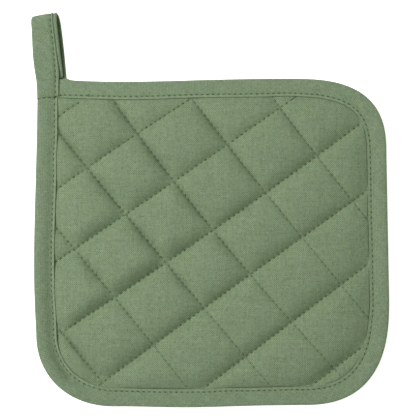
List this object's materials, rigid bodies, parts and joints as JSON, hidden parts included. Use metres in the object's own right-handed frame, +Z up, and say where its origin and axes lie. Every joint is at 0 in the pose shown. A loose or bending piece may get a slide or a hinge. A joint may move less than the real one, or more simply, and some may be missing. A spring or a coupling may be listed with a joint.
{
  "type": "pot holder",
  "caption": "Square quilted cloth pot holder with rounded corners, a taped edge and a folded hanging loop at one corner",
  "frame": {"origin": "on the surface that the pot holder lies on, under the middle of its whole outline", "axes": "+X to the right of the quilted face, +Y towards the side with the hanging loop, +Z up out of the quilted face"},
  "size_m": [0.2218, 0.2442, 0.0109],
  "materials": {
    "face_cloth": "matt plain-weave cotton, sage green, quilted",
    "edge_tape": "matt plain-weave cotton cut on the bias, sage green",
    "loop_tape": "matt plain-weave cotton cut on the bias, sage green"
  },
  "bodies": {
    "root": {"quilted_pad": "face_cloth", "edge_binding": "edge_tape", "hanging_loop": "loop_tape"}
  },
  "joints": []
}
